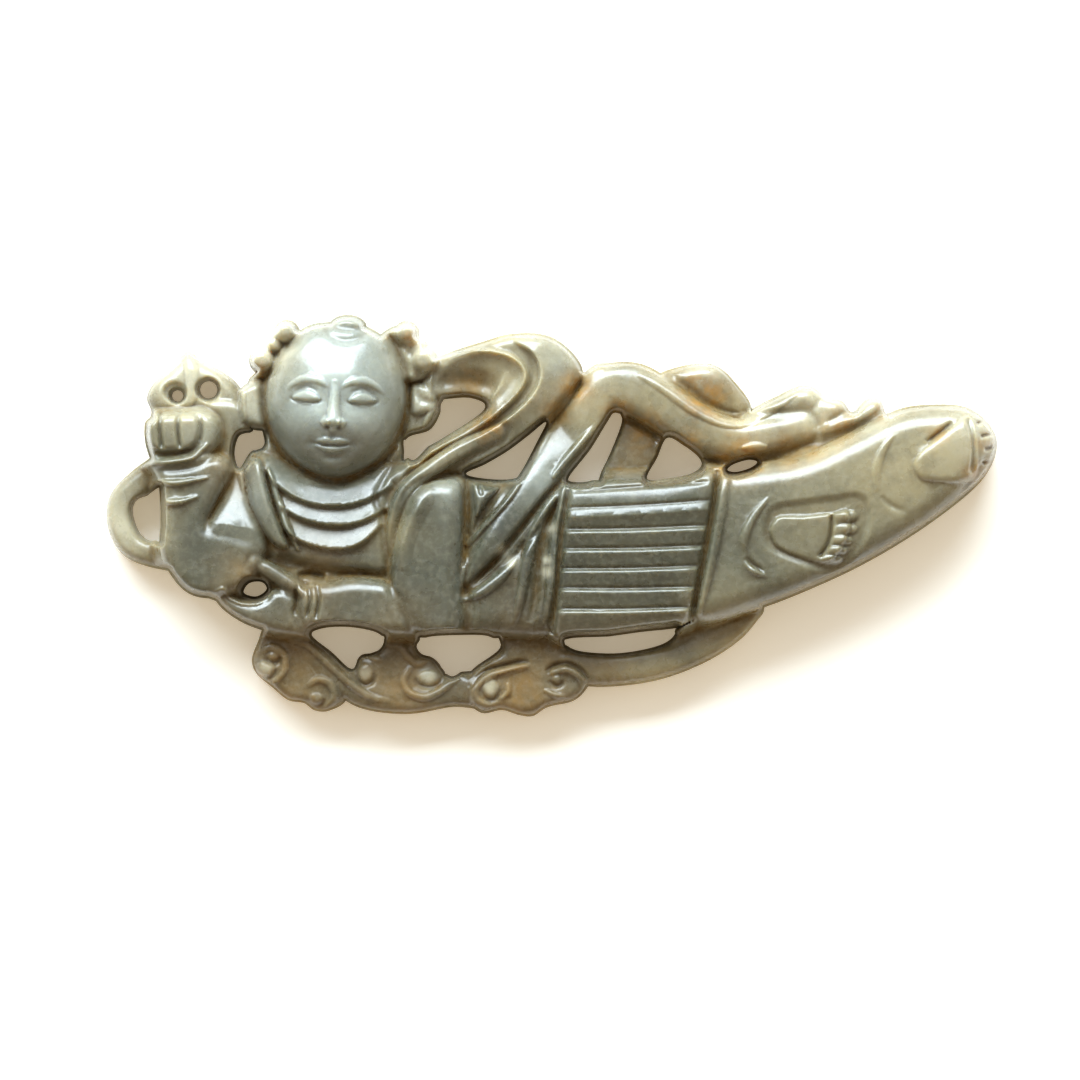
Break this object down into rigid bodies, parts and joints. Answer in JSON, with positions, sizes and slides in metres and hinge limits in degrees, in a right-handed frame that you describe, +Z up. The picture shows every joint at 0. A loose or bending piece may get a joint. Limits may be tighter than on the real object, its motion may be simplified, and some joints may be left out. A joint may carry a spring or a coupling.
{
  "type": "jade carving",
  "caption": "Openwork jade carving of a reclining boy with a sprig, a flowing scarf and a cloud scroll, flat at the back, with a cord loop at one end.",
  "frame": {"origin": "bottom centre of the box, on the flat back that it lies on", "axes": "+X towards the feet, +Y towards the crown of the head, +Z up out of the carved front"},
  "size_m": [0.089, 0.0402, 0.0125],
  "materials": {
    "jade": "polished grey-green nephrite, slightly translucent, with brown in the hollows"
  },
  "bodies": {
    "root": {"jade_figure": "jade"}
  },
  "joints": []
}
